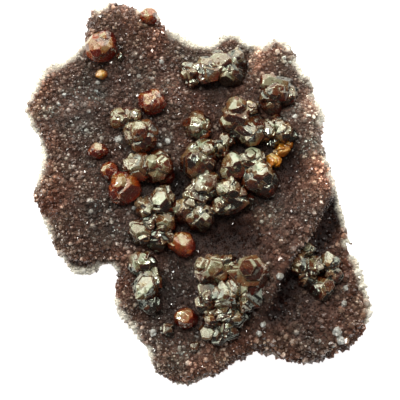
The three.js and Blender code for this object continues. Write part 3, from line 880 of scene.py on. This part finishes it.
# habits: the forms of a crystal, each with its distance from the middle
DODECAHEDRAL = [("dodecahedron", 0.74), ("tetrahedron", 0.72), ("cube", 0.88)]
TETRAHEDRAL = [("tetrahedron", 0.52), ("cube", 0.72), ("opposite", 0.70)]
CUBIC = [("cube", 0.66), ("tetrahedron", 0.70), ("dodecahedron", 0.80)]
TWINNED = [("tetrahedron", 0.62), ("opposite", 0.64), ("dodecahedron", 0.84)]
MANY_SIDED = [("dodecahedron", 0.76), ("cube", 0.78), ("opposite", 0.76), ("tetrahedron", 0.72)]
ROUNDED = [("trapezohedron", 0.85), ("dodecahedron", 0.80), ("cube", 0.84), ("tetrahedron", 0.78)]
PATTERNS = {
    # name, habit, seed, number of steps and, for the rounded ones, their sizes
    "blocky": [
        crystal_pattern("stepped_dodecahedron", DODECAHEDRAL, 1, 6),
        crystal_pattern("stepped_tetrahedron", TETRAHEDRAL, 2, 6),
        crystal_pattern("stepped_cube", CUBIC, 3, 6),
        crystal_pattern("stepped_twin", TWINNED, 4, 7),
        crystal_pattern("stepped_many", MANY_SIDED, 5, 6),
    ],
    "small": [
        crystal_pattern("small_tetrahedron", TETRAHEDRAL, 11, 3),
        crystal_pattern("small_cube", CUBIC, 12, 3),
        crystal_pattern("small_twin", TWINNED, 13, 3),
    ],
    "round": [
        crystal_pattern("round_bead", ROUNDED, 6, 1, (0.8, 0.9)),
        crystal_pattern("round_twin", ROUNDED, 7, 2, (0.6, 0.7)),
        crystal_pattern("round_stepped", ROUNDED, 8, 4, (0.45, 0.6)),
    ],
}
GROWTH = 1.15
STRETCHES = (0.90, 1.15)
SATELLITES = 2
SATELLITE_SIZES = (0.45, 0.62)
SATELLITE_TONES = (-0.3, 0.2)
SATELLITE_REACH = 0.62
SMALLEST_WITH_SATELLITES = 2.4
LARGE_BALL = 4.9 * MM
CRYSTAL_SKIN = 0.16 * MM
EDGE_WEAR = 1
EDGE_SOFTENING = 6
EDGE_HEIGHT = 0.06 * MM
# how high painted shade reaches up a crystal from the crust
SHADED_FOOT = 6 * MM
# the side of each crystal away from the lights, painted darker and redder
SHADED_SIDE = Vector((0.45, -0.75, -0.45)).normalized()
FLASHING_TONE = 0.93
SHINING_TONE = 0.45
FLASH_WAY = Vector((-0.30, 0.33, 0.89))
SHEEN_WAYS = [
    Vector((0.08, 0.60, 0.80)),
    Vector((0.16, 0.31, 0.94)),
    Vector((-0.45, 0.35, 0.82)),
]
WAY_SPREAD = 0.15
WAVE_SIZE = 2.4 * MM
WAVE_DETAIL = 1
WAVE_HEIGHT = 0.04 * MM
SPHALERITE_IOR = 2.37
GLANCE_COLOUR = (0.89, 1.0, 0.84)
POLISHED = 0.05
WORN = 0.25
LOW_GLOSS = 0.1
LOW_CLEARNESS = 0.08
LARGE_TILT = 0.16
SMALL_TILT = 0.12
# patterns, in facets or lumps to the metre
LARGE_FACETS = 430
SMALL_FACETS = 1100
TONE_LUMPS = 400
HUE_LUMPS = 260
WORN_LUMPS = 900

waves = new_clouds("waves", WAVE_SIZE, WAVE_DETAIL)


def with_satellites(crystals, chance):
    """Each crystal and the small ones on it: middle, radius, tone, and whether it is small."""
    grown = []
    for x, y, radius, rise, tone in crystals:
        middle = Vector((x, y, rise * radius)) * MM
        middle.z += crust_height(middle.x, middle.y)
        grown.append((middle, radius * MM, tone, False))
        for _ in range(SATELLITES if radius > SMALLEST_WITH_SATELLITES else 0):
            out = random_direction(chance)
            out.z = abs(out.z)
            small = radius * MM * chance.uniform(*SATELLITE_SIZES)
            spot = middle + out * radius * MM * SATELLITE_REACH
            grown.append((spot, small, tone + chance.uniform(*SATELLITE_TONES), True))
    return grown


def facing(pattern, tone, chance):
    """A turn that points the largest face to where the light strikes pale crystals, or anywhere."""
    if tone > FLASHING_TONE:
        way = FLASH_WAY
    elif tone > SHINING_TONE:
        way = chance.choice(SHEEN_WAYS)
    else:
        way = random_direction(chance)
    way = (way + random_direction(chance) * WAY_SPREAD).normalized()
    largest = max(pattern.data.polygons, key=lambda face: face.area).normal
    spin = Matrix.Rotation(chance.uniform(0, 2 * math.pi), 4, way)
    return spin @ largest.rotation_difference(way).to_matrix().to_4x4()


def grow_cluster(node, crystals, kind, finish, seed, name=None):
    """Grows a piece that stands for a node: crystals of one kind that run into each other."""
    chance = random.Random(seed)
    grown = []
    owners = []
    for middle, radius, tone, is_small in with_satellites(crystals, chance):
        pattern = chance.choice(PATTERNS["small" if is_small and kind == "blocky" else kind])
        if kind == "round" and radius > LARGE_BALL:
            pattern = PATTERNS["round"][0]
        crystal = copy_piece(pattern, "crystal")
        sides = Matrix.Diagonal([GROWTH * radius * chance.uniform(*STRETCHES) for _ in range(3)])
        turn = facing(pattern, tone, chance)
        crystal.data.transform(Matrix.Translation(middle) @ turn @ sides.to_4x4())
        grown.append(crystal)
        owners += [(middle, radius, tone, chance.random()) for _ in crystal.data.polygons]
    select_only(grown)
    if len(grown) > 1:
        bpy.ops.object.join()
    cluster = bpy.context.view_layer.objects.active
    cluster.name = cluster.data.name = name or node + "_crystals"
    faces = bvhtree.BVHTree.FromPolygons(
        [v.co.copy() for v in cluster.data.vertices],
        [tuple(face.vertices) for face in cluster.data.polygons],
    )
    add_modifier(cluster, "REMESH", mode="VOXEL", voxel_size=CRYSTAL_SKIN)
    add_smoothing(cluster, EDGE_WEAR)
    add_swelling(cluster, waves, WAVE_HEIGHT)
    apply_modifiers(cluster)
    bpy.ops.object.shade_smooth()

    # how far each point stands out on an edge, where a highlight is painted, or lies in a seam
    # between crystals, where shade is painted
    softened = copy_piece(cluster, "softened")
    add_smoothing(softened, EDGE_SOFTENING)
    apply_modifiers(softened)
    edges = [
        (v.co - soft.co).dot(v.normal) / EDGE_HEIGHT
        for v, soft in zip(cluster.data.vertices, softened.data.vertices)
    ]
    bpy.data.objects.remove(softened)
    point_values(cluster, "ridge_highlight", [max(edge, 0) for edge in edges])
    point_values(cluster, "seam_shade", [max(-edge, 0) for edge in edges])

    # what each point has from the crystal and the face that it lies on, and how far it lies towards
    # the shaded side and above the crust, for painted shade
    tones = []
    facets = []
    shaded_sides = []
    rises = []
    for v in cluster.data.vertices:
        middle, radius, tone, facet = owners[faces.find_nearest(v.co)[2]]
        tones.append(tone)
        facets.append(facet)
        shaded_sides.append(0.5 + 0.5 * (v.co - middle).dot(SHADED_SIDE) / radius)
        rises.append(min(max((v.co.z - crust_height(v.co.x, v.co.y)) / SHADED_FOOT, 0), 1))
    point_values(cluster, "tone", tones)
    point_values(cluster, "facet", facets)
    point_values(cluster, "shaded_side", shaded_sides)
    point_values(cluster, "rise", rises)
    dress(cluster, finish, node)


def tilted_facets(tree, place, scale):
    """The shade and the height of a mosaic of small flat facets, each tilted its own way."""
    cells = add_node(tree, "ShaderNodeTexVoronoi")
    cells.inputs["Scale"].default_value = scale
    tree.links.new(place, cells.inputs["Vector"])
    offset = add_node(tree, "ShaderNodeVectorMath", operation="SUBTRACT")
    tree.links.new(place, offset.inputs[0])
    tree.links.new(cells.outputs["Position"], offset.inputs[1])
    lean = add_node(tree, "ShaderNodeVectorMath", operation="SUBTRACT")
    tree.links.new(cells.outputs["Color"], lean.inputs[0])
    lean.inputs[1].default_value = (0.5, 0.5, 0.5)
    height = add_node(tree, "ShaderNodeVectorMath", operation="DOT_PRODUCT")
    tree.links.new(offset.outputs["Vector"], height.inputs[0])
    tree.links.new(lean.outputs["Vector"], height.inputs[1])
    shade = add_node(tree, "ShaderNodeSeparateColor")
    tree.links.new(cells.outputs["Color"], shade.inputs["Color"])
    return shade.outputs["Red"], height.outputs["Value"]


def sphalerite_finish(name, tones, hues, inner_colour, density, clearness, shine):
    """Resin-bright crystal. Each crystal and face has its own tone, with painted shade at the root,
    in seams and away from the lights, and painted highlights on edges.
    """
    finish, tree, shader = new_finish(name)
    place = add_node(tree, "ShaderNodeTexCoord").outputs["Object"]
    large_shade, large_height = tilted_facets(tree, place, LARGE_FACETS)
    small_shade, small_height = tilted_facets(tree, place, SMALL_FACETS)
    tone = weighted_sum(tree, [
        (attribute(tree, "tone"), 0.55),
        (attribute(tree, "facet"), 1.3),
        # painted shade low down near the crust, lighter higher up
        (attribute(tree, "rise"), 0.50),
        # painted shade on the side away from the lights
        (attribute(tree, "shaded_side"), -1.4),
        # painted highlight on the edges
        (attribute(tree, "ridge_highlight"), 0.5),
        (large_shade, 0.40),
        (small_shade, 0.20),
        (noise(tree, TONE_LUMPS, roughness=0.6), 0.5),
    ], -1.08)
    colour = stain(tree, colour_ramp(tree, tone, tones), [
        (noise(tree, HUE_LUMPS, roughness=0.6), hues),
        # painted shade in the seams between crystals
        (attribute(tree, "seam_shade"), [(0.03, WHITE), (0.42, (0.10, 0.04, 0.03))]),
        # painted shade at the foot of each crystal, near the crust
        (attribute(tree, "rise"), [
            (0.05, (0.22, 0.08, 0.06)),
            (0.35, (0.70, 0.52, 0.48)),
            (0.60, WHITE),
        ]),
    ])
    tree.links.new(colour, shader.inputs["Base Color"])
    wear = noise(tree, WORN_LUMPS, detail=3)
    rough = colour_ramp(tree, wear, [(0.35, grey(POLISHED)), (0.7, grey(WORN))])
    tree.links.new(rough, shader.inputs["Roughness"])
    shader.inputs["IOR"].default_value = SPHALERITE_IOR
    shader.inputs["Specular Tint"].default_value = (*GLANCE_COLOUR, 1)
    # the side away from the lights is painted darker above; here it also shines less and is less
    # clear
    shaded_side = attribute(tree, "shaded_side")
    gloss = colour_ramp(tree, shaded_side, [(0.55, grey(shine)), (0.8, grey(LOW_GLOSS))])
    tree.links.new(gloss, shader.inputs["Specular IOR Level"])
    clear = colour_ramp(tree, shaded_side, [(0.60, grey(clearness)), (0.85, grey(LOW_CLEARNESS))])
    tree.links.new(clear, shader.inputs["Transmission Weight"])
    growth = add_node(tree, "ShaderNodeBump")
    growth.inputs["Distance"].default_value = 1
    tilts = weighted_sum(tree, [(large_height, LARGE_TILT), (small_height, SMALL_TILT)])
    tree.links.new(tilts, growth.inputs["Height"])
    tree.links.new(growth.outputs["Normal"], shader.inputs["Normal"])
    inside = add_node(tree, "ShaderNodeVolumeAbsorption")
    inside.inputs["Color"].default_value = (*inner_colour, 1)
    inside.inputs["Density"].default_value = density
    tree.links.new(inside.outputs["Volume"], tree.nodes["Material Output"].inputs["Volume"])
    return finish


# -----------------------------------------------------------------------------
# The amber crystals. Clear, nearly round sphalerite, orange to deep red. Most are single beads that
# grew on the druse by themselves, and two grew at the lower end of the group on the left.

AMBER_SEED = 100
amber = sphalerite_finish(
    "amber_sphalerite",
    [
        (0.0, (0.24, 0.012, 0.003)),
        (0.3, (0.70, 0.095, 0.010)),
        (0.6, (0.70, 0.22, 0.038)),
        (0.85, (0.66, 0.32, 0.080)),
        (1.0, (0.82, 0.56, 0.26)),
    ],
    [(0.4, WHITE), (0.6, (1, 0.8, 0.7))],
    inner_colour=(0.95, 0.42, 0.05),
    density=260,
    clearness=0.62,
    shine=0.16,
)
AMBER_CRYSTALS = [
    # node, the piece's name if not the node's, crystals: x, y, radius in mm, rise in radii, tone
    ("sphalerite_top_left", None, [(-29.0, 43.5, 4.4, 0.3, 0.35)]),
    ("sphalerite_top_bead", None, [(-14.9, 52.6, 2.5, 0.5, 0.65)]),
    ("sphalerite_red_bead", None, [(-14.4, 27.0, 3.7, 0.4, 0.2)]),
    ("sphalerite_round_bead", None, [(-30.0, 12.8, 2.8, 0.4, 0.3)]),
    ("sphalerite_amber_bead", None, [(-5.3, -15.0, 3.6, 0.4, 0.5)]),
    ("sphalerite_garnet_bead", None, [(-4.2, -36.9, 3.1, 0.4, 0.15)]),
    ("sphalerite_left_group", "sphalerite_left_amber_crystals", [
        (-26.6, 6.9, 2.7, 0.4, 0.2),
        (-21.5, 1.8, 4.9, 0.25, 0.3),
    ]),
]
for number, (node, name, crystals) in enumerate(AMBER_CRYSTALS):
    grow_cluster(node, crystals, "round", amber, AMBER_SEED + number, name)

# -----------------------------------------------------------------------------
# The honey crystals. Clear yellow sphalerite: one small bead by itself near the top, and a rough
# band of small crystals that grew into each other down the side of the group right of the middle.

HONEY_SEED = 200
honey = sphalerite_finish(
    "honey_sphalerite",
    [(0.0, (0.75, 0.26, 0.015)), (0.5, (1.0, 0.56, 0.05)), (1.0, (1.0, 0.90, 0.50))],
    [(0.4, WHITE), (0.6, (1, 0.85, 0.6))],
    inner_colour=(0.95, 0.65, 0.10),
    density=200,
    clearness=0.3,
    shine=0.3,
)
HONEY_CRYSTALS = [
    # node, the piece's name, kind, crystals: x, y, radius in mm, rise in radii, tone
    ("sphalerite_yellow_bead", "sphalerite_yellow_bead_crystal", "round", [
        (-28.8, 35.4, 1.6, 0.6, 0.7),
    ]),
    ("sphalerite_centre_right", "sphalerite_honey_band_crystals", "blocky", [
        (17.4, 8.0, 1.4, 2.2, 0.3),
        (18.6, 7.0, 1.2, 2.4, 0.7),
        (20.2, 8.0, 1.5, 0.9, 0.6),
        (21.8, 10.2, 2.3, 0.7, 0.4),
        (22.8, 9.0, 1.3, 0.9, 0.9),
        (23.2, 12.2, 1.3, 1.2, 0.9),
        (24.9, 13.4, 2.2, 0.6, 0.5),
        (26.4, 15.2, 1.4, 0.8, 0.9),
        (25.0, 15.8, 1.0, 1.0, 0.7),
    ]),
]
for number, (node, name, kind, crystals) in enumerate(HONEY_CRYSTALS):
    grow_cluster(node, crystals, kind, honey, HONEY_SEED + number, name)

# -----------------------------------------------------------------------------
# The grey-brown crystals. Most of the sphalerite: knots of blocky crystals grown into each other,
# dark red-brown inside, with pale olive and silvery faces where the light strikes them, and painted
# shade on the side away from the lights.

GREY_BROWN_SEED = 300
grey_brown = sphalerite_finish(
    "grey_brown_sphalerite",
    [
        (0.0, (0.03, 0.003, 0.001)),
        (0.2, (0.14, 0.012, 0.004)),
        (0.42, (0.30, 0.075, 0.020)),
        (0.68, (0.42, 0.23, 0.085)),
        (0.88, (0.55, 0.42, 0.22)),
        (1.0, (0.86, 0.83, 0.62)),
    ],
    [
        (0.35, (0.85, 1.0, 0.85)),
        (0.45, (1, 1, 0.9)),
        (0.55, (1.0, 0.85, 0.85)),
        (0.65, (1.1, 0.75, 0.45)),
    ],
    inner_colour=(0.92, 0.46, 0.11),
    density=300,
    clearness=0.62,
    shine=0.45,
)
GREY_BROWN_CRYSTALS = {
    # node: crystals, each x, y, radius in mm, rise in radii, tone
    "sphalerite_grey_bead": [(-23.6, 40.5, 1.3, 0.5, 0.85)],
    "sphalerite_tan_bead": [(-9.4, -40.2, 2.0, 0.4, 0.5)],
    "sphalerite_foot_bead": [(-1.5, -45.3, 1.6, 0.4, 0.9)],
    "sphalerite_column": [
        (-11.3, -1.8, 3.7, 0.55, 0.85),
        (-15.5, -3.9, 3.4, 0.4, 0.6),
        (-10.2, -8.4, 3.4, 0.6, 0.7),
        (-14.0, -7.6, 2.9, 0.5, 0.5),
        (-16.7, -11.4, 3.8, 0.35, 0.5),
        (-11.9, -13.0, 3.8, 0.3, 0.15),
    ],
    "sphalerite_lower_left": [
        (-17.3, -20.4, 3.7, 0.4, 0.7),
        (-15.8, -27.0, 5.0, 0.3, 0.6),
        (-14.9, -31.5, 3.8, 0.3, 0.2),
    ],
    "sphalerite_great_cluster": [
        (3.5, -22.8, 4.7, 0.4, 0.8),
        (2.6, -30.0, 4.3, 0.4, 0.5),
        (8.6, -29.7, 4.7, 0.6, 0.65),
        (14.3, -30.6, 4.2, 0.4, 0.4),
        (8.0, -34.8, 3.0, 0.9, 1.0),
        (11.8, -35.8, 3.0, 0.4, 0.3),
        (3.8, -37.2, 3.7, 0.35, 0.45),
        (4.1, -41.1, 3.5, 0.3, 0.5),
        (8.8, -40.6, 3.3, 0.3, 0.4),
        (8.6, -20.8, 2.8, 0.7, 0.3),
    ],
    "sphalerite_lower_right": [
        (29.6, -21.0, 3.2, 0.4, 0.6),
        (32.0, -16.8, 2.4, 0.5, 0.95),
        (34.0, -21.6, 3.2, 0.6, 0.7),
        (38.3, -20.4, 3.4, 0.45, 0.6),
        (40.4, -24.6, 2.7, 0.4, 0.5),
        (37.2, -27.6, 4.1, 0.2, 0.1),
        (32.0, -25.2, 2.9, 0.45, 0.4),
    ],
    "sphalerite_top_middle": [
        (6.8, 39.0, 4.1, 0.45, 0.7),
        (10.7, 40.2, 3.1, 0.6, 0.95),
        (9.8, 35.4, 4.1, 0.3, 0.3),
        (-3.2, 37.2, 2.4, 0.5, 0.6),
    ],
    "sphalerite_flashing_pair": [
        (14.6, 24.9, 2.6, 1.0, 1.0),
        (14.6, 18.3, 4.7, 0.4, 0.6),
        (8.0, 15.6, 2.3, 0.6, 0.95),
    ],
    "sphalerite_centre_upper": [
        (-0.2, 20.1, 3.9, 0.4, 0.7),
        (-0.8, 9.3, 4.7, 0.4, 0.4),
        (2.6, 13.2, 3.9, 0.55, 0.8),
        (6.2, 13.2, 3.1, 0.4, 0.6),
    ],
    "sphalerite_centre_lower": [
        (2.0, 3.0, 4.1, 0.6, 0.85),
        (-1.4, -0.6, 3.9, 0.5, 0.75),
        (-4.1, -4.8, 3.7, 0.45, 0.7),
        (-0.2, -6.6, 4.3, 0.4, 0.35),
        (8.9, 1.2, 4.1, 0.5, 0.7),
        (12.2, -1.8, 3.7, 0.4, 0.5),
        (6.8, -3.6, 3.5, 0.4, 0.3),
    ],
    "sphalerite_centre_right": [
        (10.0, 8.4, 4.1, 0.4, 0.65),
        (15.8, 9.3, 3.7, 0.6, 0.85),
        (17.3, 3.9, 4.7, 0.35, 0.25),
        (20.6, 3.5, 3.1, 0.3, 0.15),
    ],
    "sphalerite_pale_cluster": [
        (20.6, 19.2, 2.9, 0.6, 1.0),
        (25.0, 18.3, 3.1, 0.5, 0.9),
        (27.5, 17.4, 2.0, 0.4, 0.8),
        (23.0, 21.9, 1.9, 0.5, 0.6),
        (21.8, 16.2, 2.5, 0.3, 0.3),
    ],
}
for number, (node, crystals) in enumerate(GREY_BROWN_CRYSTALS.items()):
    seed = GREY_BROWN_SEED + number
    grow_cluster(node, crystals, "blocky", grey_brown, seed)

# -----------------------------------------------------------------------------
# The brown crystals. Larger, clearer crystals among the grey-brown ones, red-brown to tan, some of
# them nearly round, with painted deep red shade low on the side away from the lights.

BROWN_SEED = 400
brown = sphalerite_finish(
    "brown_sphalerite",
    [
        (0.0, (0.07, 0.006, 0.002)),
        (0.25, (0.26, 0.035, 0.010)),
        (0.5, (0.40, 0.13, 0.045)),
        (0.75, (0.48, 0.27, 0.12)),
        (1.0, (0.78, 0.72, 0.50)),
    ],
    [(0.35, (0.95, 1.0, 0.88)), (0.6, (1.0, 0.88, 0.76))],
    inner_colour=(0.92, 0.42, 0.10),
    density=300,
    clearness=0.62,
    shine=0.3,
)
BROWN_CRYSTALS = [
    # node, the piece's name, kind, crystals: x, y, radius in mm, rise in radii, tone
    ("sphalerite_left_pair", "sphalerite_left_pair_crystals", "round", [
        (-22.8, 22.2, 3.1, 0.4, 0.7),
        (-17.7, 17.4, 4.7, 0.35, 0.6),
        (-18.9, 23.0, 1.9, 1.0, 1.0),
    ]),
    ("sphalerite_left_group", "sphalerite_left_brown_crystals", "blocky", [
        (-17.4, 8.4, 4.6, 0.4, 0.7),
        (-12.3, 7.5, 4.5, 0.35, 0.45),
    ]),
    ("sphalerite_upper_right", "sphalerite_upper_right_crystals", "blocky", [
        (22.4, 31.4, 4.9, 0.3, 0.44),
        (20.8, 27.6, 3.6, 0.25, 0.4),
        (25.4, 29.1, 3.6, 0.3, 0.4),
    ]),
    ("sphalerite_flashing_pair", "sphalerite_flashing_round_crystal", "round", [
        (11.0, 23.1, 4.7, 0.4, 0.35),
    ]),
    ("sphalerite_top_middle", "sphalerite_top_brown_crystals", "blocky", [
        (-2.3, 34.8, 3.1, 0.35, 0.4),
        (2.3, 36.6, 4.2, 0.35, 0.5),
    ]),
    ("sphalerite_great_cluster", "sphalerite_great_brown_crystal", "blocky", [
        (14.9, -23.7, 5.4, 0.35, 0.4),
    ]),
]
for number, (node, name, kind, crystals) in enumerate(BROWN_CRYSTALS):
    grow_cluster(node, crystals, kind, brown, BROWN_SEED + number, name)

# the patterns have been copied for the last time
for patterns in PATTERNS.values():
    for pattern in patterns:
        bpy.data.objects.remove(pattern)
